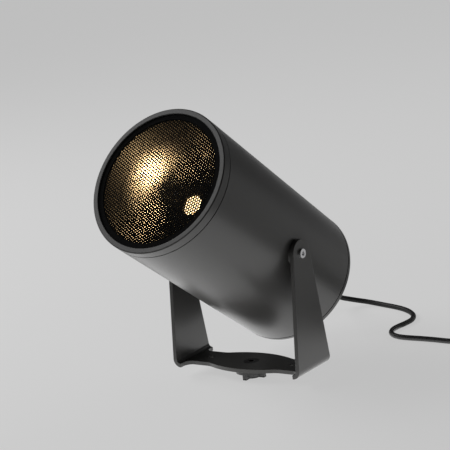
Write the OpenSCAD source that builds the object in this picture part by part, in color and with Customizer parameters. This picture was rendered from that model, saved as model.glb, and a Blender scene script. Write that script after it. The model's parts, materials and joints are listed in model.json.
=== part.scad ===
// Landscape spotlight: a round die-cast head that tilts in a bent steel yoke on a ground spike.
// Ground level is z = 0 on the spike's axis, the light faces -Y and the pivot axis runs along X.

/* [Head] */
// Outer diameter of the bezel and of the barrel's front
head_d = 150; // [140:1:170]
// Distance from the pivot axis to the front face
pivot_to_front = 147; // [140:1:160]
// Distance from the pivot axis to the rear face
pivot_to_rear = 101; // [95:0.5:110]
// Height of the barrel's axis above the pivot axis
axis_offset = 11; // [6:0.5:16]
// Draft of the cast barrel, in degrees
barrel_draft = 0.95; // [0.5:0.05:1.2]
// Tilt of the optical axis above the horizon
tilt = 38; // [20:1:60]
// Least wall of the barrel
wall = 3; // [2.5:0.1:4]

/* [Front] */
// Length of the bezel's visible sleeve
bezel_len = 9.5; // [8.5:0.5:12]
// Width of the bezel's flat lip
lip_w = 5.5; // [4.5:0.1:6.5]
// Thickness of the lip
lip_t = 1.5; // [1.2:0.1:2.5]
// Height of the seam seal between bezel and barrel
seam_h = 1; // [0.8:0.1:2]
// Thickness of the front glass
glass_t = 4; // [3:0.5:5]
// Thickness of the gasket under the glass
gasket_t = 1.5; // [1:0.1:2]
// Depth of the honeycomb louvre
louvre_t = 1.5; // [1:0.1:3]
// Centre distance of the louvre's cells
cell_pitch = 7.6; // [7.2:0.1:10]
// Wall between the louvre's cells
cell_wall = 1; // [0.6:0.1:1.4]

/* [Light engine] */
// Distance from the front face to the heat sink's seat
seat_depth = 63; // [58:1:66]
// Thickness of the heat sink's plate
sink_plate_t = 10; // [8:0.5:14]
// Length of the cooling fins
fin_len = 42; // [30:1:46]
// Thickness of a cooling fin
fin_t = 2; // [1.5:0.1:3]
// Centre distance of the cooling fins
fin_pitch = 10; // [9:0.5:12]
// Side of the square LED board
board_w = 24; // [22:0.5:26]
// Thickness of the LED board
board_t = 1.5; // [1:0.1:2]
// Diameter of the glowing spot of the LED
spot_d = 17; // [14:0.5:19]
// Thickness of the LED holder
holder_t = 4; // [3.5:0.5:6]
// Wall of the spun reflector
reflector_t = 1; // [0.8:0.1:1.4]
// Length of the driver
driver_len = 92; // [80:1:95]
// Width of the driver
driver_w = 38; // [32:1:42]
// Height of the driver
driver_h = 26; // [22:1:28]
// Sheet of the driver's bracket
bracket_t = 2; // [1.5:0.1:2.5]

/* [Rear] */
// Thickness of the rear cap
cap_t = 5.5; // [5:0.5:8]
// Radius of the cap's rounded edge
cap_round = 2.5; // [2:0.5:4]
// Thickness of the rear seal
rear_seal_t = 1; // [0.8:0.1:1.5]
// Sideways place of the cable gland
gland_x = -24; // [-30:1:-18]
// Height of the cable gland above the barrel's axis
gland_v = 34; // [30:1:38]
// Width across the gland's flats
gland_af = 20; // [18:0.5:22]
// Length of the tapered boot beyond the dome nut
boot_len = 16; // [14:1:20]

/* [Yoke] */
// Sheet of the yoke
yoke_t = 4; // [3:0.5:5]
// Radius of the arm's round top
arm_top_r = 14; // [12:0.5:16]
// Half width of the arm at its foot
arm_foot_w = 28; // [24:0.5:32]
// Radius of the fillets between the arms' feet and the base strip
foot_fillet_r = 8; // [6:0.5:10]
// Width of the base strip
strip_w = 32; // [28:1:38]
// Outward bow of the base strip's edges in the middle
belly_rise = 9; // [6:0.5:12]
// Length of the bow
belly_len = 82; // [70:1:90]
// Inner radius of the bends
bend_r = 4; // [3:0.5:6]
// Room between the base and the rear edge that swings over it
swing_gap = 1; // [0.8:0.1:4]
// Distance between the two fixing holes of the base
fixing_pitch = 100; // [84:1:104]
// Diameter of the fixing holes
fixing_d = 6.5; // [5:0.5:8]

/* [Pivot and swivel] */
// Diameter of the pivot screws
pivot_d = 6; // [5:0.5:8]
// Diameter of the pivot screws' heads
pivot_head_d = 9.2; // [8.8:0.2:12]
// Height of the pivot screws' heads
pivot_head_h = 2.2; // [2:0.1:4]
// Thickness of the pivot washers
washer_t = 0.6; // [0.5:0.1:1.2]
// Diameter of the swivel bolt
bolt_d = 8; // [6:0.5:10]
// Diameter of the swivel bolt's countersunk head
bolt_head_d = 16; // [14:0.5:18]
// Length of the swivel bolt
bolt_len = 34; // [28:1:40]
// Thickness of the friction washer on the spike
base_washer_t = 1; // [0.8:0.1:1.5]

/* [Spike] */
// Height of the yoke's underside above the ground
base_lift = 12; // [10:0.5:16]
// Depth of the spike in the ground
spike_depth = 180; // [150:5:220]
// Diameter of the spike's flange
flange_d = 34; // [30:1:38]
// Thickness of the spike's flange
flange_t = 5; // [4:0.5:6]
// Half width of the spike's blades at the top
blade_w = 15; // [12:0.5:16]
// Thickness of the spike's blades
blade_t = 4; // [3:0.5:5]

/* [Cord] */
// Diameter of the power cord
cord_d = 5.5; // [5:0.1:6]
// Radius of the coil at the middle of its turns
coil_r = 32; // [30:0.5:33]
// Turns of the coil
coil_turns = 5.25; // [4.25:1:6.25]
// Distance between the coil's turns and layers
coil_pitch = 6.7; // [6.6:0.1:7.2]
// Thickness of the coil's tie
tie_t = 1; // [0.8:0.1:1.4]
// Length of the cord connector's body
connector_len = 30; // [26:1:36]

/* [Hidden] */
$fn = 96;

// Clearances: running fits, slip fits of inner pieces, and laid-in soft pieces
run_gap = 0.05;
slip = 0.15;
soft_gap = 0.3;
eps = 0.01;

// Radii of the barrel, whose draft runs from the seam to the rear seal
head_r = head_d / 2;
front_p = pivot_to_front;
sleeve_p = front_p - bezel_len;
shoulder_p = sleeve_p - seam_h;
rear_p = -pivot_to_rear;
cap_p = rear_p + cap_t;
barrel_rear_p = cap_p + rear_seal_t;
function barrel_r(p) = head_r - tan(barrel_draft) * (shoulder_p - p);
rear_r = barrel_r(barrel_rear_p);
bore_r = rear_r - wall;

// Front stack in the barrel's neck, from the lip back over the louvre and the glass to the gasket
lip_r = head_r - lip_w;
neck_r = lip_r + 3;
neck_wall = 1.6;
cup_r = neck_r - neck_wall;
frame_front_p = front_p - lip_t - run_gap;
neck_p = frame_front_p - slip;
frame_lip_t = 0.5;
frame_lip_w = 1.5;
frame_wall = 5;
frame_r = cup_r - slip;
louvre_r = frame_r - frame_wall;
louvre_front_p = frame_front_p - frame_lip_t;
louvre_p = louvre_front_p - louvre_t;
glass_p = louvre_p - slip - glass_t;
gasket_p = glass_p - gasket_t;

// Light engine
seat_p = front_p - seat_depth;
seat_w = 8.2;
seat_t = 4;
board_p = seat_p;
holder_p = board_p + holder_t;
sink_back_p = seat_p - sink_plate_t;
fin_back_p = sink_back_p - fin_len;
sink_r = bore_r - slip;
fin_r = bore_r - 2.2;
sink_screw_r = bore_r - 4.2;
sink_screw_d = 3;
lead_v = 8;
lead_x = fin_pitch / 2;
lead_d = 2.2;
reflector_rim_p = gasket_p;
reflector_rim_w = 3;
reflector_rear_r = spot_d / 2 + 3;
reflector_rim_r = bore_r - slip;
reflector_front_r = reflector_rim_r - reflector_rim_w;

// Driver tray: the driver hangs under the bracket, the terminal block sits on it
tray_v = gland_v - 11;
driver_p = fin_back_p - bracket_t - 8;
tray_rear_p = driver_p - driver_len - 6;
terminal_len = 18;
terminal_w = 28;
terminal_h = 14;
terminal_p = tray_rear_p + 4;

// Rear screws sit in lugs inside the barrel
lug_r = 5.5;
lug_ring_r = bore_r - 4;
lug_len = 16;
lug_inset = 1;
rear_screw_d = 4;
rear_screw_head_d = 7.6;

// Cable gland, from the cap outwards
gland_hex_t = 6;
gland_nut_len = 10.5;
gland_thread_d = 16;
gland_lock_t = 4;
boot_r = 7;
boot_tip_r = cord_d / 2 + 1.2;
gland_face_p = rear_p - gland_hex_t;
gland_dome_p = gland_face_p - gland_nut_len;
boot_tip_p = gland_dome_p - boot_len;

// The yoke stands high enough for the rear edge to swing over its base
swing_reach = norm([pivot_to_rear - cap_round, rear_r - axis_offset - cap_round]) + cap_round;
pivot_h = swing_reach + swing_gap + yoke_t;
base_z = base_lift;
pivot_z = base_z + pivot_h;
boss_r = arm_top_r - 2;
boss_x = barrel_r(arm_top_r) + 0.2;
boss_depth = 13;
arm_x = boss_x + washer_t + 2 * run_gap;
arm_out_x = arm_x + yoke_t;
bend_out_r = bend_r + yoke_t;
belly_r = (pow(belly_len / 2, 2) + pow(belly_rise, 2)) / (2 * belly_rise);
pivot_screw_len = 16;

// Spike and swivel
flange_z = base_z - base_washer_t;
spike_hub_r = 10;
spike_hub_len = 50;
insert_r = 6.5;
insert_len = 24;

// A point of the head, from sideways place, place along the axis and height above the axis
function head_point(x, p, v) = [
    x,
    -p * cos(tilt) + (axis_offset + v) * sin(tilt),
    pivot_z + p * sin(tilt) + (axis_offset + v) * cos(tilt)
];

// Cord route: straight out of the boot, down to the ground, round a bend and away to the right
cord_r = cord_d / 2;
ground_z = cord_r;
coil_lift = tie_t + soft_gap + 0.2;
coil_z = ground_z + coil_lift;
coil_centre = [188, 181];
coil_half = (coil_turns - 0.5) / 2;
coil_lead = 4 * cord_d;
coil_out_r = coil_r + coil_half * coil_pitch / 2;
boot_tip = head_point(gland_x, boot_tip_p, gland_v);
boot_dir = head_point(gland_x, boot_tip_p - 1, gland_v) - boot_tip;
coil_start = [coil_centre[0], coil_centre[1] - coil_out_r, coil_z];
cord_points = [
    boot_tip,
    boot_tip + 2 * cord_d * boot_dir,
    [-25, 153.5, 70],
    [-28, 168, 57],
    [-31, 181.5, 45],
    [-33.5, 194.3, 33.3],
    [-34.5, 206.5, 22.5],
    [-32, 218, 14.5],
    [-26.7, 227.2, 10],
    [-19.5, 233.5, 7],
    [-9.5, 237, 5],
    [2, 238, 3.5],
    [13, 237, ground_z],
    [28, 233.3, ground_z],
    [42, 228.3, ground_z],
    [55, 220.4, ground_z],
    [65.3, 209.8, ground_z],
    [70.7, 197.1, ground_z],
    [70.4, 183.9, ground_z],
    [68.3, 172.3, ground_z],
    [68.3, 162.5, ground_z],
    [71.7, 153.3, ground_z],
    [77.9, 146.5, ground_z],
    [86.6, 142.4, ground_z],
    [97.7, 141.3, ground_z],
    [113.7, 142.2, ground_z],
    [130.1, 142.5, ground_z],
    [147, 142, ground_z],
    [164, 141.3, ground_z + 0.5 * coil_lift],
    coil_start - [cord_d + slip, 0, 0]
];

// Point of the coil after a number of turns: in, up a layer in half a turn, and out again
function coil_turn_r(f) =
    f < coil_half ? coil_out_r - coil_pitch * f :
    f < coil_half + 0.5 ? coil_out_r - coil_pitch * coil_half :
    coil_out_r - coil_pitch * (coil_turns - f);
function coil_turn_z(f) = coil_z + coil_pitch * min(max((f - coil_half) / 0.5, 0), 1);
function coil_point(f) = [
    coil_centre[0] + coil_turn_r(f) * cos(360 * f - 90),
    coil_centre[1] + coil_turn_r(f) * sin(360 * f - 90),
    coil_turn_z(f)
];
coil_rings = 24;
coil_steps = round(coil_turns * coil_rings);
coil_path = concat(
    [coil_start - [cord_d, 0, 0]],
    [for (i = [0 : coil_steps]) coil_point(coil_turns * i / coil_steps)],
    [coil_point(coil_turns) + [0, coil_lead, 0]]
);
coil_end = coil_path[len(coil_path) - 1];
// The connector at the coil's upper end is as thick as it needs to rest on the ground
connector_d = 2 * coil_end[2];

// Least gap of the coil to itself, between points at least half a turn apart
gap_steps = 2 * coil_steps;
gap_points = [for (i = [0 : gap_steps]) coil_point(coil_turns * i / gap_steps)];
coil_gap = min([
    for (i = [0 : gap_steps - coil_rings]) for (j = [i + coil_rings : gap_steps])
        norm(gap_points[i] - gap_points[j])
]) - cord_d;

// Smooth curve through points, and its length
function curve(a, b, c, d, t) = 0.5 * (
    2 * b + (c - a) * t + (2 * a - 5 * b + 4 * c - d) * t * t + (3 * b - a - 3 * c + d) * t * t * t
);
function smooth(points, steps) = concat(
    [for (i = [0 : len(points) - 2]) for (k = [0 : steps - 1])
        curve(points[max(i - 1, 0)], points[i], points[i + 1], points[min(i + 2, len(points) - 1)], k / steps)],
    [points[len(points) - 1]]
);
function path_length(path, i = 0) =
    i > len(path) - 2 ? 0 : norm(path[i + 1] - path[i]) + path_length(path, i + 1);
cord_path = smooth(cord_points, 2);
echo(str("least gap of the coil to itself ", coil_gap));
echo(str("length of the cord outside the boot ", path_length(cord_path) + path_length(coil_path)));

// Closed tube with triangular faces along a path
function unit(v) = v / norm(v);
function heading(path, i) = unit(path[min(i + 1, len(path) - 1)] - path[max(i - 1, 0)]);
function tube_ring(centre, along, r, sides) =
    let (side = unit(cross(along, [0, 0, 1])), up = cross(side, along))
    [for (k = [0 : sides - 1]) centre + r * (cos(360 * k / sides) * side + sin(360 * k / sides) * up)];
module tube(path, r, sides) {
    last = len(path) - 1;
    points = concat(
        [for (i = [0 : last]) each tube_ring(path[i], heading(path, i), r, sides)],
        [path[0], path[last]]
    );
    walls = [for (i = [0 : last - 1]) for (k = [0 : sides - 1])
        let (a = i * sides + k, b = i * sides + (k + 1) % sides)
        each [[a, a + sides, b], [b, a + sides, b + sides]]];
    start_cap = [for (k = [0 : sides - 1]) [k, (k + 1) % sides, (last + 1) * sides]];
    end_cap = [for (k = [0 : sides - 1])
        [last * sides + (k + 1) % sides, last * sides + k, (last + 1) * sides + 1]];
    polyhedron(points, concat(walls, start_cap, end_cap));
}

// Places a child modelled on the barrel's axis: X sideways, Y above the axis, Z towards the front
module head() {
    translate([0, 0, pivot_z]) rotate([90 - tilt, 0, 0]) translate([0, axis_offset, 0]) children();
}
// Ring about the axis, from inner and outer radius and two places along it
module ring(r_in, r_out, p_low, p_high) {
    rotate_extrude() translate([r_in, p_low]) square([r_out - r_in, p_high - p_low]);
}
// Copies on a circle about the axis
module around(count, r, first = 0) {
    for (i = [0 : count - 1]) rotate(first + 360 * i / count) translate([r, 0, 0]) children();
}
// Cylinder along X at the pivot axis, between two distances on one side
module pivot_rod(side, r, x_low, x_high) {
    translate([side * x_low, 0, 0]) rotate([0, side * 90, 0]) cylinder(r = r, h = x_high - x_low);
}
// Hexagonal prism from its width across flats
module hexagon(af, h) {
    cylinder(d = af / cos(30), h = h, $fn = 6);
}

// Moulded ground spike with a flange, a hub for the insert and two crossed blades
module spike() {
    color("#1b1b1b") difference() {
        union() {
            translate([0, 0, flange_z - flange_t]) cylinder(d = flange_d, h = flange_t);
            translate([0, 0, flange_z - flange_t - spike_hub_len])
                cylinder(r1 = blade_t / 2, r2 = spike_hub_r, h = spike_hub_len + eps);
            for (turn = [0, 90]) rotate([90, 0, turn]) linear_extrude(blade_t, center = true)
                polygon([
                    [-blade_w, flange_z - flange_t + eps], [-blade_w, 0], [-blade_t / 4, -spike_depth],
                    [blade_t / 4, -spike_depth], [blade_w, 0], [blade_w, flange_z - flange_t + eps]
                ]);
        }
        translate([0, 0, flange_z - insert_len]) cylinder(r = insert_r, h = insert_len + 1);
        translate([0, 0, base_z - bolt_len - 1]) cylinder(d = bolt_d + 2 * slip, h = bolt_len);
    }
}
// Brass insert moulded into the spike
module spike_insert() {
    color("#b08d45") translate([0, 0, flange_z - insert_len]) difference() {
        cylinder(r = insert_r, h = insert_len);
        translate([0, 0, -1]) cylinder(d = bolt_d + 2 * run_gap, h = insert_len + 2);
    }
}
// Friction washer between the spike's flange and the yoke
module base_washer() {
    color("#2a2a2a") translate([0, 0, flange_z]) difference() {
        cylinder(d = flange_d - 2, h = base_washer_t - run_gap);
        translate([0, 0, -1]) cylinder(d = bolt_d + 2 * slip, h = base_washer_t + 2);
    }
}
// Countersunk bolt, flush with the base, that the yoke turns on
module swivel_bolt() {
    socket_d = bolt_d * 0.62;
    color("#2c2c2c") translate([0, 0, base_z]) difference() {
        union() {
            translate([0, 0, yoke_t - bolt_len]) cylinder(d = bolt_d, h = bolt_len);
            cylinder(d1 = bolt_d, d2 = bolt_head_d, h = yoke_t);
        }
        translate([0, 0, yoke_t * 0.45]) hexagon(socket_d, yoke_t);
    }
}

// One arm of the yoke, flat in the YZ plane: a round top whose tangents run down to a wide foot at the bend
module arm_outline() {
    foot_z = base_z + bend_out_r;
    foot_drop = pivot_z - foot_z;
    touch_angle = acos(arm_top_r / norm([arm_foot_w, foot_drop])) - atan2(foot_drop, arm_foot_w);
    touch = arm_top_r * [cos(touch_angle), sin(touch_angle)];
    translate([0, pivot_z]) circle(arm_top_r);
    polygon([
        [-arm_foot_w, foot_z], [arm_foot_w, foot_z],
        [touch[0], pivot_z + touch[1]], [-touch[0], pivot_z + touch[1]]
    ]);
}
// Flat outline of the base: a strip that bows outwards round the swivel bolt and widens to the arms' feet
module base_outline(flat_x) {
    strip_y = strip_w / 2;
    bow_y = strip_y + belly_rise - belly_r;
    bow_blend = 20;
    blend_y = strip_y + bow_blend;
    blend_x = sqrt(pow(belly_r + bow_blend, 2) - pow(blend_y - bow_y, 2));
    touch = [0, bow_y] + [blend_x, blend_y - bow_y] * belly_r / (belly_r + bow_blend);
    foot_len = 0.5;
    fillet_x = flat_x - foot_len - foot_fillet_r;
    square([2 * flat_x, strip_w], center = true);
    intersection() {
        square([belly_len, strip_w + 2 * belly_rise], center = true);
        translate([0, bow_y]) circle(belly_r);
        translate([0, -bow_y]) circle(belly_r);
    }
    for (side = [0, 1]) for (end = [0, 1]) mirror([0, side, 0]) mirror([end, 0, 0]) {
        translate([flat_x - foot_len, 0]) square([foot_len, arm_foot_w]);
        difference() {
            polygon([[touch[0], strip_y - 1], touch, [blend_x, strip_y], [blend_x, strip_y - 1]]);
            translate([blend_x, blend_y]) circle(bow_blend);
        }
        intersection() {
            translate([fillet_x, 0]) square([flat_x - fillet_x, arm_foot_w]);
            difference() {
                translate([fillet_x, strip_y - 1]) square([foot_fillet_r + foot_len / 2, foot_fillet_r + 1]);
                translate([fillet_x, strip_y + foot_fillet_r]) circle(foot_fillet_r);
            }
        }
    }
}
// Bent steel strip: a bowed base, two bends and two tapered arms
module yoke() {
    flat_x = arm_out_x - bend_out_r;
    color("#4b4b48") difference() {
        union() {
            translate([0, 0, base_z]) linear_extrude(yoke_t) base_outline(flat_x);
            for (side = [-1, 1]) {
                translate([side * flat_x, arm_foot_w, base_z + bend_out_r]) rotate([90, 0, 0])
                    rotate(side > 0 ? -90 : 180) rotate_extrude(angle = 90)
                    translate([bend_r, 0]) square([yoke_t, 2 * arm_foot_w]);
                translate([side > 0 ? arm_x : -arm_out_x, 0, 0]) rotate([90, 0, 90])
                    linear_extrude(yoke_t) arm_outline();
            }
        }
        for (side = [-1, 1]) {
            translate([0, 0, pivot_z]) pivot_rod(side, pivot_d / 2 + run_gap, arm_x - 1, arm_out_x + 1);
            translate([side * fixing_pitch / 2, 0, base_z - 1]) cylinder(d = fixing_d, h = yoke_t + 2);
        }
        translate([0, 0, base_z - 1]) cylinder(d = bolt_d + 2 * run_gap, h = yoke_t + 2);
        translate([0, 0, base_z])
            cylinder(d1 = bolt_d + 2 * run_gap, d2 = bolt_head_d + 2 * run_gap, h = yoke_t + eps);
    }
}
// Socket screws that carry the head in the arms
module pivot_screws() {
    color("#a9abad") translate([0, 0, pivot_z]) for (side = [-1, 1]) difference() {
        union() {
            pivot_rod(side, pivot_d / 2, arm_out_x - pivot_screw_len, arm_out_x + eps + run_gap);
            pivot_rod(side, pivot_head_d / 2, arm_out_x + run_gap, arm_out_x + pivot_head_h);
        }
        translate([side * (arm_out_x + pivot_head_h * 0.35), 0, 0]) rotate([0, side * 90, 0])
            hexagon(pivot_d * 0.7, pivot_head_h);
    }
}
// Plastic washers between the barrel's bosses and the arms
module pivot_washers() {
    color("#1d1d1d") translate([0, 0, pivot_z]) for (side = [-1, 1]) difference() {
        pivot_rod(side, boss_r - 1, boss_x, boss_x + washer_t);
        pivot_rod(side, pivot_d / 2 + run_gap, boss_x - 1, boss_x + washer_t + 1);
    }
}

// Die-cast barrel with a neck for the bezel, seats inside, screw lugs and pivot bosses
module barrel() {
    color("#484846") head() difference() {
        union() {
            rotate_extrude() polygon([
                [rear_r, barrel_rear_p], [barrel_r(shoulder_p), shoulder_p], [neck_r, shoulder_p],
                [neck_r, neck_p], [cup_r, neck_p], [cup_r, gasket_p], [bore_r, gasket_p],
                [bore_r, seat_p + seat_t],
                [bore_r - seat_w, seat_p + seat_t], [bore_r - seat_w, seat_p], [bore_r, seat_p],
                [bore_r, barrel_rear_p]
            ]);
            around(4, lug_ring_r, 45) translate([0, 0, barrel_rear_p + lug_inset])
                cylinder(r = lug_r, h = lug_len - lug_inset);
            for (side = [-1, 1]) translate([0, -axis_offset, 0])
                pivot_rod(side, boss_r, boss_x - boss_depth, boss_x);
        }
        for (side = [-1, 1]) translate([0, -axis_offset, 0])
            pivot_rod(side, pivot_d / 2 + run_gap, arm_out_x - pivot_screw_len - 1, arm_out_x);
        around(4, lug_ring_r, 45) translate([0, 0, barrel_rear_p - 1])
            cylinder(d = rear_screw_d + 2 * run_gap, h = lug_len - 3);
        around(3, sink_screw_r, 90) translate([0, 0, seat_p - 1])
            cylinder(d = sink_screw_d + 2 * run_gap, h = seat_t + 2);
    }
}
// Front ring that screws over the barrel's neck and holds the glass
module front_bezel() {
    edge = 0.8;
    color("#666869") head() rotate_extrude() polygon([
        [lip_r, front_p - lip_t], [lip_r, front_p - edge / 2], [lip_r + edge / 2, front_p],
        [head_r - edge, front_p], [head_r, front_p - edge], [head_r, sleeve_p],
        [neck_r + run_gap, sleeve_p], [neck_r + run_gap, front_p - lip_t]
    ]);
}
// Rubber ring in the seam between bezel and barrel
module seam_seal() {
    color("#161616") head() ring(neck_r + run_gap, head_r - 1.2, shoulder_p, sleeve_p);
}
// Rubber gasket that the glass lies on
module glass_gasket() {
    color("#161616") head() ring(bore_r + slip, cup_r - slip, gasket_p, glass_p);
}
// Toughened front glass behind the louvre
module front_glass() {
    color("#c9d2d2", 0.4) head() translate([0, 0, glass_p]) cylinder(r = cup_r - slip, h = glass_t);
}
// Black ring that holds the louvre between the bezel's lip and the glass
module louvre_frame() {
    color("#121212") head() rotate_extrude() polygon([
        [louvre_r, louvre_p], [frame_r, louvre_p], [frame_r, frame_front_p],
        [louvre_r - frame_lip_w, frame_front_p], [louvre_r - frame_lip_w, louvre_front_p],
        [louvre_r, louvre_front_p]
    ]);
}
// Honeycomb against glare: a disc of hexagonal cells, whole ones only
module honeycomb_louvre() {
    rim = 1.6;
    row_h = cell_pitch * sin(60);
    rows = floor(louvre_r / row_h);
    cell_r = (cell_pitch - cell_wall) / 2 / cos(30);
    reach = louvre_r - slip - rim - cell_r;
    color("#171615") head() translate([0, 0, louvre_p]) linear_extrude(louvre_t) difference() {
        circle(louvre_r - slip);
        for (row = [-rows : rows]) for (column = [-rows - 1 : rows + 1]) {
            place = [row_h * row, cell_pitch * (column + (row % 2 == 0 ? 0 : 0.5))];
            if (norm(place) < reach) translate(place) circle(cell_r, $fn = 6);
        }
    }
}
// Spun reflector with a dark low-glare finish: a paraboloid bowl with a flat rim, on the LED holder
module reflector() {
    steps = 14;
    depth = reflector_rim_p - reflector_t - holder_p;
    focus = (pow(reflector_front_r, 2) - pow(reflector_rear_r, 2)) / (4 * depth);
    function bowl_p(r) = holder_p + (r * r - pow(reflector_rear_r, 2)) / (4 * focus);
    radii = [for (i = [0 : steps])
        reflector_rear_r + (reflector_front_r - reflector_rear_r) * i / steps];
    inner = [for (r = radii) [r, bowl_p(r) + reflector_t]];
    outer = [for (r = radii) [r + reflector_t, bowl_p(r)]];
    color("#2b2926") head() rotate_extrude() polygon(concat(
        inner, [[reflector_rim_r, reflector_rim_p], [reflector_rim_r, reflector_rim_p - reflector_t]],
        [for (i = [steps : -1 : 0]) outer[i]]
    ));
}
// Plastic holder that clamps the LED board to the heat sink
module led_holder() {
    holder_r = board_w / 2 / cos(45) + 4;
    color("#1b1b1b") head() difference() {
        translate([0, 0, board_p]) cylinder(r = holder_r, h = holder_t);
        translate([0, 0, board_p + board_t / 2])
            cube([board_w + 2 * slip, board_w + 2 * slip, board_t + 2 * slip], center = true);
        translate([0, 0, board_p]) cylinder(d1 = spot_d + 1, d2 = 2 * reflector_rear_r, h = holder_t + eps);
    }
}
// LED board with its glowing spot
module led_cob() {
    color("#f5d98a") head() {
        translate([0, 0, board_p + board_t / 2]) cube([board_w, board_w, board_t], center = true);
        translate([0, 0, board_p + board_t - eps]) cylinder(d = spot_d, h = 0.8);
    }
}
// Heat sink: a round plate on the barrel's seat with straight fins behind it
module heat_sink() {
    fins = floor((fin_r - fin_t) / fin_pitch);
    color("#b9bbbd") head() difference() {
        union() {
            translate([0, 0, sink_back_p]) cylinder(r = sink_r, h = sink_plate_t);
            intersection() {
                translate([0, 0, fin_back_p]) cylinder(r = fin_r, h = fin_len + eps);
                for (i = [-fins : fins]) translate([fin_pitch * i - fin_t / 2, -fin_r, fin_back_p])
                    cube([fin_t, 2 * fin_r, fin_len + eps]);
            }
        }
        for (side = [-1, 1]) translate([side * lead_x, lead_v, sink_back_p - 1])
            cylinder(d = lead_d + 2 * run_gap, h = sink_plate_t + 2);
        around(3, sink_screw_r, 90) translate([0, 0, fin_back_p - 1])
            cylinder(d = sink_screw_d + 2 * slip, h = sink_plate_t + fin_len + 2);
        around(3, sink_screw_r, 90) translate([0, 0, fin_back_p - 1])
            cylinder(d = 2 * sink_screw_d + 1, h = fin_len + 1 - eps);
    }
}
// Screws that hold the heat sink to the barrel's seat
module heat_sink_screws() {
    color("#a9abad") head() around(3, sink_screw_r, 90) {
        translate([0, 0, sink_back_p - 1]) cylinder(d = sink_screw_d, h = sink_plate_t + seat_t + 1);
        translate([0, 0, sink_back_p - 2]) cylinder(d = 2 * sink_screw_d - 0.4, h = 2 - 2 * eps);
    }
}
// Bent sheet behind the fins that carries the driver and the terminal block
module driver_bracket() {
    foot_h = driver_h + 10;
    color("#a3a5a6") head() {
        difference() {
            translate([-driver_w / 2, tray_v + bracket_t - foot_h, fin_back_p - bracket_t])
                cube([driver_w, foot_h, bracket_t]);
            for (side = [-1, 1]) translate([side * lead_x, lead_v, fin_back_p - bracket_t - 1])
                cylinder(d = lead_d + 2 * slip, h = bracket_t + 2);
        }
        translate([-driver_w / 2, tray_v, tray_rear_p])
            cube([driver_w, bracket_t, fin_back_p - bracket_t - tray_rear_p + eps]);
        translate([gland_x - terminal_w / 2, tray_v, terminal_p - 2])
            cube([terminal_w, bracket_t, terminal_len + 4]);
    }
}
// Potted driver under the bracket
module led_driver() {
    color("#d9d9d5") head() difference() {
        translate([-driver_w / 2, tray_v - driver_h, driver_p - driver_len])
            cube([driver_w, driver_h, driver_len]);
        for (end = [0, 1]) translate([-driver_w / 2 + 3, tray_v - driver_h - 1,
            driver_p - driver_len + (end > 0 ? driver_len - 5 : -1)]) cube([driver_w - 6, driver_h - 6, 6]);
    }
}
// Two-way terminal block for the inlet cable
module terminal_block() {
    base_v = tray_v + bracket_t;
    color("#e3e0d6") head() difference() {
        translate([gland_x - terminal_w / 2, base_v, terminal_p]) cube([terminal_w, terminal_h, terminal_len]);
        for (side = [-1, 1]) translate([gland_x + side * 7, base_v + terminal_h + eps, terminal_p + 9])
            rotate([90, 0, 0]) cylinder(d = 5, h = 6);
    }
}
// Pair of leads from the driver through the heat sink to the LED board
module led_leads() {
    color("#8e2f2a") head() for (side = [-1, 1])
        translate([side * lead_x, lead_v, driver_p]) cylinder(d = lead_d, h = board_p - driver_p, $fn = 24);
}
// End of the power cord inside the boot and the gland, up to the terminal block
module inlet_cable() {
    color("#171717") head() translate([gland_x, gland_v, boot_tip_p + slip])
        cylinder(d = cord_d, h = terminal_p - boot_tip_p - slip);
}

// Flat seal between barrel and rear cap
module rear_seal() {
    color("#161616") head() difference() {
        ring(bore_r - 0.5, rear_r - 1, cap_p, barrel_rear_p);
        around(4, lug_ring_r, 45) translate([0, 0, cap_p - 1]) cylinder(d = rear_screw_d + 1, h = cap_t);
    }
}
// Rear cap with a rounded edge, a locating rib, screw holes and the gland's hole
module rear_cap() {
    steps = 8;
    rib_r = lug_ring_r - lug_r - 0.6;
    color("#464644") head() difference() {
        rotate_extrude() polygon(concat(
            [[0, cap_p], [rib_r - 2.4, cap_p], [rib_r - 2.4, cap_p + 4], [rib_r, cap_p + 4], [rib_r, cap_p],
                [rear_r, cap_p]],
            [for (i = [0 : steps]) let (a = -90 * i / steps) [
                rear_r - cap_round + cap_round * cos(a), rear_p + cap_round + cap_round * sin(a)
            ]],
            [[0, rear_p]]
        ));
        translate([gland_x, gland_v, rear_p - 1]) cylinder(d = gland_thread_d + 2 * run_gap, h = cap_t + 8);
        translate([gland_x, gland_v, cap_p + run_gap])
            cylinder(d = (gland_af + 1) / cos(30) + 2 * soft_gap, h = gland_lock_t + 4);
        around(4, lug_ring_r, 45) translate([0, 0, rear_p - 1]) {
            cylinder(d = rear_screw_d + 2 * run_gap, h = cap_t + 2);
            cylinder(d = rear_screw_head_d + 2 * slip, h = 1 + cap_t * 0.55);
        }
    }
}
// Cap screws in counterbores
module rear_cap_screws() {
    head_h = cap_t * 0.45;
    seat = rear_p + cap_t * 0.55;
    color("#a9abad") head() around(4, lug_ring_r, 45) difference() {
        union() {
            translate([0, 0, seat - head_h]) cylinder(d = rear_screw_head_d, h = head_h);
            translate([0, 0, seat - eps]) cylinder(d = rear_screw_d, h = cap_t * 0.45 + rear_seal_t + 10);
        }
        translate([0, 0, seat - head_h - 1]) hexagon(rear_screw_d * 0.75, head_h * 0.6 + 1);
    }
}
// Cable gland in the rear cap: hexagon outside, thread through the cap
module gland_body() {
    bore_d = cord_d + 2 * slip;
    color("#1f1f1f") head() translate([gland_x, gland_v, 0]) difference() {
        union() {
            translate([0, 0, gland_face_p]) hexagon(gland_af, gland_hex_t);
            translate([0, 0, rear_p - eps]) cylinder(d = gland_thread_d, h = cap_t + gland_lock_t + 2);
        }
        translate([0, 0, gland_face_p - 1]) cylinder(d = bore_d, h = cap_t + gland_hex_t + gland_lock_t + 8);
    }
}
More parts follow.
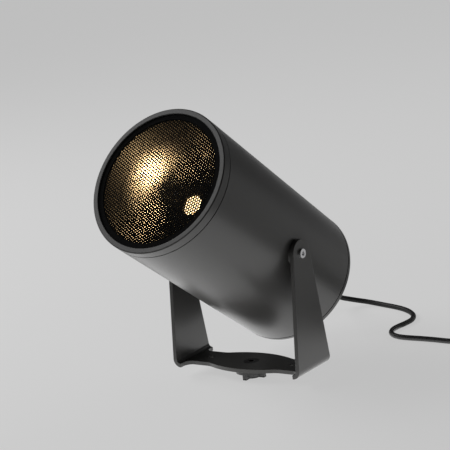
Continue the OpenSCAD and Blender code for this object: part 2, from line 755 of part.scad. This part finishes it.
// Lock nut inside the cap
module gland_locknut() {
    color("#2b2b2b") head() translate([gland_x, gland_v, cap_p]) difference() {
        hexagon(gland_af + 1, gland_lock_t);
        translate([0, 0, -1]) cylinder(d = gland_thread_d + 2 * run_gap, h = gland_lock_t + 2);
    }
}
// Dome nut of the gland
module gland_nut() {
    color("#222222") head() translate([gland_x, gland_v, gland_dome_p]) difference() {
        intersection() {
            hexagon(gland_af - 0.6, gland_nut_len);
            cylinder(r1 = boot_r + 1.6, r2 = boot_r + 1.6 + gland_nut_len, h = gland_nut_len);
        }
        translate([0, 0, -1]) cylinder(r = boot_r + run_gap, h = gland_nut_len + 2);
    }
}
// Rubber boot that seals the cord and keeps it from kinking
module gland_boot() {
    color("#191919") head() translate([gland_x, gland_v, 0]) difference() {
        union() {
            translate([0, 0, gland_dome_p - 2]) cylinder(r = boot_r, h = gland_nut_len + 2);
            translate([0, 0, boot_tip_p]) cylinder(r1 = boot_tip_r, r2 = boot_r, h = boot_len - 2 + eps);
        }
        translate([0, 0, boot_tip_p - 1]) cylinder(d = cord_d + 2 * run_gap, h = boot_len + gland_nut_len + 2);
    }
}

// Free stretch of the power cord, from the boot to the coil
module power_cord() {
    color("#141414") tube(cord_path, cord_r, 10);
}
// The rest of the cord, wound up and put away
module cord_coil() {
    color("#141414") tube(coil_path, cord_r, 6);
}
// Strap round the coil's turns
module coil_tie() {
    turn = 0.1;
    width = 8;
    room = 0.5;
    low_r = coil_out_r - coil_pitch * coil_half - cord_r - room;
    span = coil_pitch * coil_half + cord_d + 2 * room;
    rise = coil_pitch + cord_d + 2 * soft_gap;
    color("#2c2c2c") translate([coil_centre[0], coil_centre[1], coil_z - cord_r - soft_gap])
        rotate(360 * turn - 90) translate([low_r, width / 2, 0]) rotate([90, 0, 0]) linear_extrude(width)
        difference() {
            union() {
                translate([-tie_t, 0]) square([span + 2 * tie_t, rise]);
                translate([0, -tie_t]) square([span, rise + 2 * tie_t]);
                for (x = [0, span]) for (y = [0, rise]) translate([x, y]) circle(tie_t, $fn = 24);
            }
            square([span, rise]);
        }
}
// Sealed connector on the cord's end: a ribbed body with a tapered tail
module connector_body() {
    body_r = connector_d / 2 - 1.5;
    tail_len = 14;
    color("#1c1c1c") translate(coil_end) rotate([-90, 0, 0]) difference() {
        union() {
            cylinder(r1 = cord_r + 1, r2 = body_r - 1, h = tail_len + eps);
            translate([0, 0, tail_len]) cylinder(r = body_r, h = connector_len);
            for (i = [0 : 3]) translate([0, 0, tail_len + 3 + 3 * i]) cylinder(r = body_r + 0.6, h = 1.4);
        }
        translate([0, 0, tail_len + connector_len - 6]) cylinder(r = body_r - 2.2, h = 7);
    }
}
// Coupling nut of the connector
module connector_nut() {
    body_r = connector_d / 2 - 1.5;
    nut_len = 14;
    color("#262626") translate(coil_end) rotate([-90, 0, 0]) translate([0, 0, connector_len + 2])
        difference() {
            cylinder(d = connector_d, h = nut_len);
            translate([0, 0, -1]) cylinder(r = body_r + run_gap, h = nut_len + 2);
            around(12, connector_d / 2 + 0.4) translate([0, 0, -1]) cylinder(d = 2.2, h = nut_len + 2, $fn = 16);
        }
}
// Contact pins of the connector
module connector_pins() {
    tail_len = 14;
    color("#c9a85a") translate(coil_end) rotate([-90, 0, 0]) for (side = [-1, 1])
        translate([side * 2.2, 0, tail_len + connector_len - 6]) cylinder(d = 1.6, h = 5, $fn = 16);
}

spike();
spike_insert();
base_washer();
swivel_bolt();
yoke();
pivot_screws();
pivot_washers();
barrel();
front_bezel();
seam_seal();
glass_gasket();
front_glass();
louvre_frame();
honeycomb_louvre();
reflector();
led_holder();
led_cob();
heat_sink();
heat_sink_screws();
driver_bracket();
led_driver();
terminal_block();
led_leads();
inlet_cable();
rear_seal();
rear_cap();
rear_cap_screws();
gland_body();
gland_locknut();
gland_nut();
gland_boot();
power_cord();
cord_coil();
coil_tie();
connector_body();
connector_nut();
connector_pins();
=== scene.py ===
# Landscape spotlight: a powder-coated barrel head with a honeycomb louvre, tilting in a bent steel
# yoke on a ground spike. After the camera and the cord come the spike, the yoke, the head and its inside.
import json
import math

import bmesh
import bpy
from mathutils import Matrix, Vector

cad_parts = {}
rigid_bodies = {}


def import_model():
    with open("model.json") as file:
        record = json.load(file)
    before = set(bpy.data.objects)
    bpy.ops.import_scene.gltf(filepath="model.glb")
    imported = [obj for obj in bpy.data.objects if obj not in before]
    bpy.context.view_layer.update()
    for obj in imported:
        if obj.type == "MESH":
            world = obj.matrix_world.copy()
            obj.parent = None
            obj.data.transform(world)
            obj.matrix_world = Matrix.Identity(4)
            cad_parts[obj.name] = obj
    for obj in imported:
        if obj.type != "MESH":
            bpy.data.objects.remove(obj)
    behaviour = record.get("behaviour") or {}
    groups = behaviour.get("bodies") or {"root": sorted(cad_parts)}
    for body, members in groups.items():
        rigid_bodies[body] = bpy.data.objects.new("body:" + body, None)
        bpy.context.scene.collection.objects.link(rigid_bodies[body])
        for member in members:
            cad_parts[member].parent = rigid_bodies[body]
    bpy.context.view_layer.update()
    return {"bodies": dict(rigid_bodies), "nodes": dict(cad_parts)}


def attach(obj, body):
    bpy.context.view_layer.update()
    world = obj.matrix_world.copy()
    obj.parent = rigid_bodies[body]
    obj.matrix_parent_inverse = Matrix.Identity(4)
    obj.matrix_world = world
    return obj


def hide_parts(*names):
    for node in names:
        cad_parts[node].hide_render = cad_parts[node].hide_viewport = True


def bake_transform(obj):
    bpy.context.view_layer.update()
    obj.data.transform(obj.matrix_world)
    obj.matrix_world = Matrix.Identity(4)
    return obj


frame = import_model()
nodes = frame["nodes"]
scene = bpy.context.scene
scene.view_settings.view_transform = "Standard"

# The camera stands in front of the light, to its right and a little above it, with a long lens.
# Its place and its slight roll were fitted to the outlines of the head and the yoke.
camera_place = (1.18442, -1.5484, 0.63706)
camera_turn_deg = (76.1399, 7.132, 35.9174)
lens_mm = 161.08
sensor_mm = 36
view_reach = 50


def add_object(name, data):
    """A new object, linked into the scene."""
    new_object = bpy.data.objects.new(name, data)
    scene.collection.objects.link(new_object)
    return new_object


camera_data = bpy.data.cameras.new("camera")
camera_data.sensor_width = sensor_mm
camera_data.lens = lens_mm
camera_data.clip_end = view_reach
camera = add_object("camera", camera_data)
camera.location = camera_place
camera.rotation_euler = [math.radians(angle) for angle in camera_turn_deg]
scene.camera = camera

# The power cord: a round two-core cable in a black rubber jacket. It drops from the boot on the head to
# the ground, lies there in an open S, and the rest of it is coiled up beside the light.
tilt = math.radians(38)
boot_tip = Vector((-0.024, 0.132904, 0.08691))
boot_heading = Vector((0, math.cos(tilt), -math.sin(tilt)))
cord_d = 0.0055
cord_ground = cord_d / 2
cord_tail = 4 * cord_d
cord_sides = 14
path_steps = 4
coil_centre = Vector((0.188, 0.181))
coil_r = 0.032
coil_turns = 5.25
coil_pitch = 0.0067
coil_lift = 0.0015
coil_z = cord_ground + coil_lift
climb_turns = 0.5
coil_half = (coil_turns - climb_turns) / 2
coil_out_r = coil_r + coil_half * coil_pitch / 2
steps_a_turn = 48


def coil_point(turn):
    """A point of the coil: the turns go in, climb a layer in half a turn, and come out again."""
    inward = min(turn, coil_half, coil_turns - turn)
    radius = coil_out_r - coil_pitch * max(inward, 0)
    climb = min(max((turn - coil_half) / climb_turns, 0), 1)
    angle = math.radians(360 * turn - 90)
    return Vector((
        coil_centre.x + radius * math.cos(angle),
        coil_centre.y + radius * math.sin(angle),
        coil_z + coil_pitch * climb,
    ))


def smooth_path(points, steps):
    """A smooth curve through all the points, with that many steps from one to the next."""
    path = []
    for i in range(len(points) - 1):
        a, b = points[max(i - 1, 0)], points[i]
        c, d = points[i + 1], points[min(i + 2, len(points) - 1)]
        for k in range(steps):
            t = k / steps
            path.append(0.5 * (
                2 * b + (c - a) * t + (2 * a - 5 * b + 4 * c - d) * t ** 2 + (3 * b - a - 3 * c + d) * t ** 3
            ))
    return path + [points[-1]]


def join_rings(shape, low, high):
    """The faces between two rings with the same number of points."""
    count = len(low)
    return [
        shape.faces.new((low[k], low[(k + 1) % count], high[(k + 1) % count], high[k]))
        for k in range(count)
    ]


def sweep_tube(name, path, radius, sides):
    """A closed round tube along a path that is nowhere upright."""
    shape = bmesh.new()
    angles = [2 * math.pi * k / sides for k in range(sides)]
    rings = []
    for i, centre in enumerate(path):
        along = (path[min(i + 1, len(path) - 1)] - path[max(i - 1, 0)]).normalized()
        side = along.cross(Vector((0, 0, 1))).normalized()
        up = side.cross(along)
        rings.append([
            shape.verts.new(centre + radius * (math.cos(a) * side + math.sin(a) * up)) for a in angles
        ])
    for low, high in zip(rings, rings[1:]):
        for face in join_rings(shape, low, high):
            face.smooth = True
    shape.faces.new(rings[0][::-1])
    shape.faces.new(rings[-1])
    bmesh.ops.recalc_face_normals(shape, faces=shape.faces)
    mesh = bpy.data.meshes.new(name)
    shape.to_mesh(mesh)
    shape.free()
    return add_object(name, mesh)


def new_finish(name, colour, roughness, metallic=0.0):
    """A material with one Principled shader, and that shader."""
    material = bpy.data.materials.new(name)
    material.use_nodes = True
    shader = material.node_tree.nodes["Principled BSDF"]
    shader.inputs["Base Color"].default_value = (*colour, 1)
    shader.inputs["Roughness"].default_value = roughness
    shader.inputs["Metallic"].default_value = metallic
    return material, shader


def add_grain(material, shader, scale, height, rough, edge=0.0, stretch=(1, 1, 1)):
    """Fine surface grain: noise that raises the surface and varies its roughness, with softened edges."""
    noise_detail = 4
    noise_low, noise_high = 0.3, 0.7
    edge_samples = 6
    tree = material.node_tree
    place = tree.nodes.new("ShaderNodeTexCoord")
    mapping = tree.nodes.new("ShaderNodeMapping")
    mapping.inputs["Scale"].default_value = stretch
    noise = tree.nodes.new("ShaderNodeTexNoise")
    noise.inputs["Scale"].default_value = scale
    noise.inputs["Detail"].default_value = noise_detail
    spread = tree.nodes.new("ShaderNodeMapRange")
    spread.inputs["From Min"].default_value = noise_low
    spread.inputs["From Max"].default_value = noise_high
    spread.inputs["To Min"].default_value = rough[0]
    spread.inputs["To Max"].default_value = rough[1]
    bump = tree.nodes.new("ShaderNodeBump")
    bump.inputs["Strength"].default_value = 1
    bump.inputs["Distance"].default_value = height
    tree.links.new(place.outputs["Object"], mapping.inputs["Vector"])
    tree.links.new(mapping.outputs["Vector"], noise.inputs["Vector"])
    tree.links.new(noise.outputs["Fac"], spread.inputs["Value"])
    tree.links.new(spread.outputs["Result"], shader.inputs["Roughness"])
    tree.links.new(noise.outputs["Fac"], bump.inputs["Height"])
    if edge:
        soft = tree.nodes.new("ShaderNodeBevel")
        soft.samples = edge_samples
        soft.inputs["Radius"].default_value = edge
        tree.links.new(soft.outputs["Normal"], bump.inputs["Normal"])
    tree.links.new(bump.outputs["Normal"], shader.inputs["Normal"])


cord_points = [boot_tip, boot_tip + 2 * cord_d * boot_heading] + [Vector(p) for p in (
    (-0.025, 0.1535, 0.07),
    (-0.028, 0.168, 0.057),
    (-0.031, 0.1815, 0.045),
    (-0.0335, 0.1943, 0.0333),
    (-0.0345, 0.2065, 0.0225),
    (-0.032, 0.218, 0.0145),
    (-0.0267, 0.2272, 0.01),
    (-0.0195, 0.2335, 0.007),
    (-0.0095, 0.237, 0.005),
    (0.002, 0.238, 0.0035),
    (0.013, 0.237, cord_ground),
    (0.028, 0.2333, cord_ground),
    (0.042, 0.2283, cord_ground),
    (0.055, 0.2204, cord_ground),
    (0.0653, 0.2098, cord_ground),
    (0.0707, 0.1971, cord_ground),
    (0.0704, 0.1839, cord_ground),
    (0.0683, 0.1723, cord_ground),
    (0.0683, 0.1625, cord_ground),
    (0.0717, 0.1533, cord_ground),
    (0.0779, 0.1465, cord_ground),
    (0.0866, 0.1424, cord_ground),
    (0.0977, 0.1413, cord_ground),
    (0.1137, 0.1422, cord_ground),
    (0.1301, 0.1425, cord_ground),
    (0.147, 0.142, cord_ground),
    (0.164, 0.1413, cord_ground + coil_lift / 2),
)] + [coil_point(0) - Vector((cord_d, 0, 0))]
coil_steps = round(steps_a_turn * coil_turns)
coil_path = [coil_point(coil_turns * i / coil_steps) for i in range(coil_steps + 1)]
coil_path.append(coil_path[-1] + Vector((0, cord_tail, 0)))
cord_path = smooth_path(cord_points, path_steps) + coil_path
cord_jacket, jacket_shader = new_finish("cord_jacket", (0.013, 0.013, 0.013), roughness=0.5)
add_grain(cord_jacket, jacket_shader, scale=1400, height=0.00006, rough=(0.42, 0.6))
cord = sweep_tube("cord", cord_path, cord_d / 2, cord_sides)
cord.data.materials.append(cord_jacket)
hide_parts("power_cord", "cord_coil")
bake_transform(cord)

# The coil's strap and the sealed connector on the cord's end. All are black moulded plastic with a fine
# eroded grain, and the connector's two pins are turned brass.
moulded_black, moulded_shader = new_finish("moulded_black", (0.019, 0.019, 0.019), roughness=0.5)
add_grain(moulded_black, moulded_shader, scale=900, height=0.00008, rough=(0.4, 0.6), edge=0.0004)
turned_brass, brass_shader = new_finish("turned_brass", (0.69, 0.53, 0.25), roughness=0.3, metallic=1.0)
add_grain(turned_brass, brass_shader, scale=700, height=0.00002, rough=(0.22, 0.4), stretch=(1, 1, 6))


def dress(material, *names):
    """Gives CAD nodes a finish."""
    for name in names:
        nodes[name].data.materials.clear()
        nodes[name].data.materials.append(material)


dress(moulded_black, "coil_tie", "connector_body", "connector_nut")
dress(turned_brass, "connector_pins")

# The ground spike: black glass-filled plastic with two crossed blades and a flange, and a brass insert
# moulded in. A friction washer and a countersunk bolt of blackened steel hold the yoke on it.
black_oxide, oxide_shader = new_finish("black_oxide", (0.03, 0.03, 0.03), roughness=0.4, metallic=1.0)
add_grain(black_oxide, oxide_shader, scale=1100, height=0.00002, rough=(0.32, 0.48), edge=0.0003)
dress(moulded_black, "spike", "base_washer")
dress(turned_brass, "spike_insert")
dress(black_oxide, "swivel_bolt")

# The yoke: 4 mm steel strip, laser cut, bent twice and powder coated in satin anthracite. Its arms taper
# to round tops, and stainless socket screws through them carry the head between thin plastic washers.
anthracite = (0.047, 0.046, 0.044)
powder_coat, coat_shader = new_finish("powder_coat", anthracite, roughness=0.33)
coat_shader.inputs["Specular IOR Level"].default_value = 0.4
add_grain(powder_coat, coat_shader, scale=1500, height=0.00004, rough=(0.28, 0.38), edge=0.0007)
stainless, stainless_shader = new_finish("stainless", (0.56, 0.56, 0.57), roughness=0.3, metallic=1.0)
add_grain(stainless, stainless_shader, scale=1100, height=0.00002, rough=(0.2, 0.38), edge=0.0003)
dress(powder_coat, "yoke")
dress(stainless, "pivot_screws")
dress(moulded_black, "pivot_washers")

# The barrel and its rear cap: die-cast aluminium with the same satin powder coat. The cap closes the
# barrel with a flat rubber seal and four sunk screws.
rubber, rubber_shader = new_finish("rubber", (0.011, 0.011, 0.011), roughness=0.7)
add_grain(rubber, rubber_shader, scale=1200, height=0.00005, rough=(0.6, 0.8))


def even_shading(mesh):
    """Evens out the shading where a round face begins and ends. The points stay as they are."""
    place_digits = 5
    same_bend = 0.98
    normals = [corner.vector.copy() for corner in mesh.corner_normals]
    spots = {}
    for loop in mesh.loops:
        place = tuple(round(c, place_digits) for c in mesh.vertices[loop.vertex_index].co)
        spots.setdefault(place, []).append(loop.index)
    evened = list(normals)
    for corners in spots.values():
        for i in corners:
            near = [normals[j] for j in corners if normals[j].dot(normals[i]) > same_bend]
            evened[i] = sum(near, Vector()).normalized()
    mesh.normals_split_custom_set(evened)


def coated_shell(name, node):
    """A coated piece of the head that stands for a CAD node: the same form, with an even sheen all round."""
    mesh = nodes[node].data.copy()
    mesh.name = name
    even_shading(mesh)
    mesh.materials.clear()
    mesh.materials.append(powder_coat)
    shell = add_object(name, mesh)
    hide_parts(node)
    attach(shell, "head")


coated_shell("barrel_shell", "barrel")
coated_shell("cap_shell", "rear_cap")
dress(rubber, "rear_seal")
dress(stainless, "rear_cap_screws")

# The cable gland in the rear cap: hexagon body, lock nut and dome nut of black plastic, with a tapered
# rubber boot round the cord's inner end.
dress(moulded_black, "gland_body", "gland_nut", "gland_locknut")
dress(rubber, "gland_boot")
dress(cord_jacket, "inlet_cable")

# The front bezel: a turned aluminium ring with a flat lip, powder coated like the barrel. It screws over
# the barrel's neck against a seal, and clamps the louvre and the toughened glass behind it on a gasket.
coated_shell("bezel_ring", "front_bezel")
clear_glass, glass_shader = new_finish("clear_glass", (0.02, 0.02, 0.02), roughness=0.05)
glass_shader.inputs["Alpha"].default_value = 0.12
dress(clear_glass, "front_glass")
dress(rubber, "seam_seal", "glass_gasket")

# The honeycomb louvre: a thin black anodised sheet of small hexagonal cells against glare, held behind the
# lip by a black ring. Every cell is an open tube with its share of the walls round it.
pivot_height = 0.13364
axis_offset = 0.011
head_place = (
    Matrix.Translation((0, 0, pivot_height))
    @ Matrix.Rotation(math.pi / 2 - tilt, 4, "X")
    @ Matrix.Translation((0, axis_offset, 0))
)
louvre_r = 0.0656
louvre_t = 0.0015
louvre_front = 0.14495
louvre_back = louvre_front - louvre_t
cell_pitch = 0.0029
cell_wall = 0.00085
cell_out = cell_pitch / math.sqrt(3)
cell_in = (cell_pitch - cell_wall) / math.sqrt(3)
row_step = cell_pitch * math.sin(math.radians(60))
rim_w = 0.0017
rim_overlap = 0.0004
rim_drop = 0.0001
rim_in = louvre_r - rim_w
rim_edge = rim_in - rim_overlap
rim_front = louvre_front - rim_drop
rim_steps = 96
black_anodised, anodised_shader = new_finish("black_anodised", (0.004, 0.004, 0.004), roughness=0.6)
anodised_shader.inputs["Specular IOR Level"].default_value = 0.03
add_grain(black_anodised, anodised_shader, scale=900, height=0.00003, rough=(0.5, 0.7))
cell_sheen, sheen_shader = new_finish("cell_sheen", (0.006, 0.006, 0.006), roughness=0.48)
add_grain(cell_sheen, sheen_shader, scale=900, height=0.000004, rough=(0.45, 0.53))
plain_face, lit_wall = 0, 1
honeycomb = bmesh.new()
cell_corners = [(math.cos(math.radians(60 * k)), math.sin(math.radians(60 * k))) for k in range(6)]
cell_profile = (
    (cell_out, louvre_front), (cell_in, louvre_front), (cell_in, louvre_back), (cell_out, louvre_back),
)
rows = int(louvre_r / row_step) + 1
for row in range(-rows, rows + 1):
    for column in range(-rows - 2, rows + 3):
        x = row_step * row
        y = cell_pitch * (column + 0.5 * (row % 2))
        if math.hypot(x, y) > rim_in:
            continue
        rings = [
            [honeycomb.verts.new((x + r * c, y + r * s, p)) for c, s in cell_corners] for r, p in cell_profile
        ]
        for one, two, finish in zip(rings, rings[1:], (plain_face, lit_wall, plain_face)):
            for face in join_rings(honeycomb, one, two):
                face.material_index = finish
rim_angles = [2 * math.pi * k / rim_steps for k in range(rim_steps)]
rim_profile = (
    (rim_edge, louvre_back), (rim_edge, rim_front), (louvre_r, rim_front), (louvre_r, louvre_back),
)
rim = [
    [honeycomb.verts.new((r * math.cos(a), r * math.sin(a), p)) for a in rim_angles] for r, p in rim_profile
]
for one, two in zip(rim, rim[1:] + rim[:1]):
    join_rings(honeycomb, one, two)
honeycomb.transform(head_place)
bmesh.ops.recalc_face_normals(honeycomb, faces=honeycomb.faces)
louvre_mesh = bpy.data.meshes.new("louvre_cells")
honeycomb.to_mesh(louvre_mesh)
honeycomb.free()
louvre_mesh.materials.append(black_anodised)
louvre_mesh.materials.append(cell_sheen)
louvre_cells = add_object("louvre_cells", louvre_mesh)
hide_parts("honeycomb_louvre")
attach(louvre_cells, "head")
dress(black_anodised, "louvre_frame")

# The reflector: a spun aluminium bowl between the LED and the glass. It is coloured near black, painted
# shade for the dark inside the head, so only the LED itself and the lit walls of the cells show.
painted_shade_bowl, bowl_shader = new_finish("painted_shade_bowl", (0.012, 0.011, 0.01), roughness=0.4)
add_grain(painted_shade_bowl, bowl_shader, scale=260, height=0.00002, rough=(0.36, 0.46))
dress(painted_shade_bowl, "reflector")

# The LED: a square board whose round spot of phosphor glows warm white, clamped to the heat sink by a
# black plastic holder. Two small lamps over the spot, a wide one and a beam, give its light.
phosphor, phosphor_shader = new_finish("phosphor", (0.95, 0.72, 0.32), roughness=0.4)
phosphor_shader.inputs["Emission Color"].default_value = (1.0, 0.72, 0.38, 1)
phosphor_shader.inputs["Emission Strength"].default_value = 8
add_grain(phosphor, phosphor_shader, scale=1500, height=0.00003, rough=(0.35, 0.5))
dress(phosphor, "led_cob")
dress(moulded_black, "led_holder")
spot_d = 0.017
lamp_front = 0.0866
warm_white = (1.0, 0.66, 0.31)
lamp_place = head_place @ Matrix.Translation((0, 0, lamp_front)) @ Matrix.Rotation(math.pi, 4, "X")
for name, power, spread_deg in (("led_wide", 0.18, 125), ("led_beam", 1.0, 66)):
    spot_lamp = bpy.data.lights.new(name, "AREA")
    spot_lamp.shape = "DISK"
    spot_lamp.size = spot_d
    spot_lamp.color = warm_white
    spot_lamp.energy = power
    spot_lamp.spread = math.radians(spread_deg)
    led_lamp = add_object(name, spot_lamp)
    led_lamp.matrix_world = lamp_place
    led_lamp.visible_camera = False
    led_lamp.visible_transmission = False
    led_lamp.parent = frame["bodies"]["head"]

# Behind the LED: the finned heat sink on the barrel's seat, and the bracket with the driver and the
# terminal block. They are plain aluminium and plastic, joined by short silicone leads.
plain_aluminium, aluminium_shader = new_finish(
    "plain_aluminium", (0.6, 0.61, 0.62), roughness=0.4, metallic=1.0,
)
add_grain(plain_aluminium, aluminium_shader, scale=500, height=0.00004, rough=(0.32, 0.5), edge=0.0004)
white_plastic, white_shader = new_finish("white_plastic", (0.78, 0.77, 0.74), roughness=0.45)
add_grain(white_plastic, white_shader, scale=900, height=0.00005, rough=(0.38, 0.55), edge=0.0003)
silicone, silicone_shader = new_finish("silicone", (0.5, 0.06, 0.05), roughness=0.5)
add_grain(silicone, silicone_shader, scale=1200, height=0.00003, rough=(0.42, 0.6))
dress(plain_aluminium, "heat_sink", "driver_bracket")
dress(white_plastic, "led_driver", "terminal_block")
dress(stainless, "heat_sink_screws")
dress(silicone, "led_leads")

# The studio: a pale floor that shows as an even light grey, in gloss and glass too, and keeps the shadow.
# A flat round panel under the light brightens its underside, and three soft boxes and a dim sky do the rest.
floor_half = 9
floor_grey = 0.35
floor_lift = 0.495
sky_strength = 0.06
floor_mesh = bpy.data.meshes.new("floor")
floor_corners = [(x * floor_half, y * floor_half, 0) for x, y in ((-1, -1), (1, -1), (1, 1), (-1, 1))]
floor_mesh.from_pydata(floor_corners, [], [(0, 1, 2, 3)])
floor = add_object("floor", floor_mesh)
pale_floor, floor_shader = new_finish("pale_floor", (floor_grey, floor_grey, floor_grey), roughness=0.9)
floor_shader.inputs["Specular IOR Level"].default_value = 0
floor_shader.inputs["Emission Color"].default_value = (1, 1, 1, 1)
tree = pale_floor.node_tree
path_kind = tree.nodes.new("ShaderNodeLightPath")
seen = tree.nodes.new("ShaderNodeMath")
seen.operation = "MAXIMUM"
shown = tree.nodes.new("ShaderNodeMath")
shown.operation = "MAXIMUM"
lift = tree.nodes.new("ShaderNodeMath")
lift.operation = "MULTIPLY"
lift.inputs[1].default_value = floor_lift
tree.links.new(path_kind.outputs["Is Camera Ray"], seen.inputs[0])
tree.links.new(path_kind.outputs["Is Glossy Ray"], seen.inputs[1])
tree.links.new(seen.outputs[0], shown.inputs[0])
tree.links.new(path_kind.outputs["Is Transmission Ray"], shown.inputs[1])
tree.links.new(shown.outputs[0], lift.inputs[0])
tree.links.new(lift.outputs[0], floor_shader.inputs["Emission Strength"])
floor_mesh.materials.append(pale_floor)

sky = bpy.data.worlds.new("studio")
scene.world = sky
sky.use_nodes = True
sky.node_tree.nodes["Background"].inputs["Color"].default_value = (1, 1, 1, 1)
sky.node_tree.nodes["Background"].inputs["Strength"].default_value = sky_strength


def soft_lamp(name, place, target, width, height, power):
    """A rounded studio lamp that points at a spot."""
    data = bpy.data.lights.new(name, "AREA")
    data.shape = "ELLIPSE"
    data.size = width
    data.size_y = height
    data.energy = power
    lamp = add_object(name, data)
    lamp.location = place
    lamp.rotation_euler = (Vector(target) - Vector(place)).to_track_quat("-Z", "Y").to_euler()
    lamp.visible_camera = False


soft_lamp("floor_panel", (0.02, -0.1, 0.001), (0.02, -0.1, 1), width=0.56, height=0.56, power=0.7)
soft_lamp("left_box", (-1.06, -0.75, 1.4), (0, 0, 0.12), width=1.0, height=1.0, power=6)
soft_lamp("back_box", (0.5, 1.6, 0.9), (0, 0.05, 0.15), width=1.2, height=0.6, power=1.5)
soft_lamp("side_box", (-1.5, 0.1, 1.1), (0, 0, 0.15), width=1.0, height=0.8, power=6)
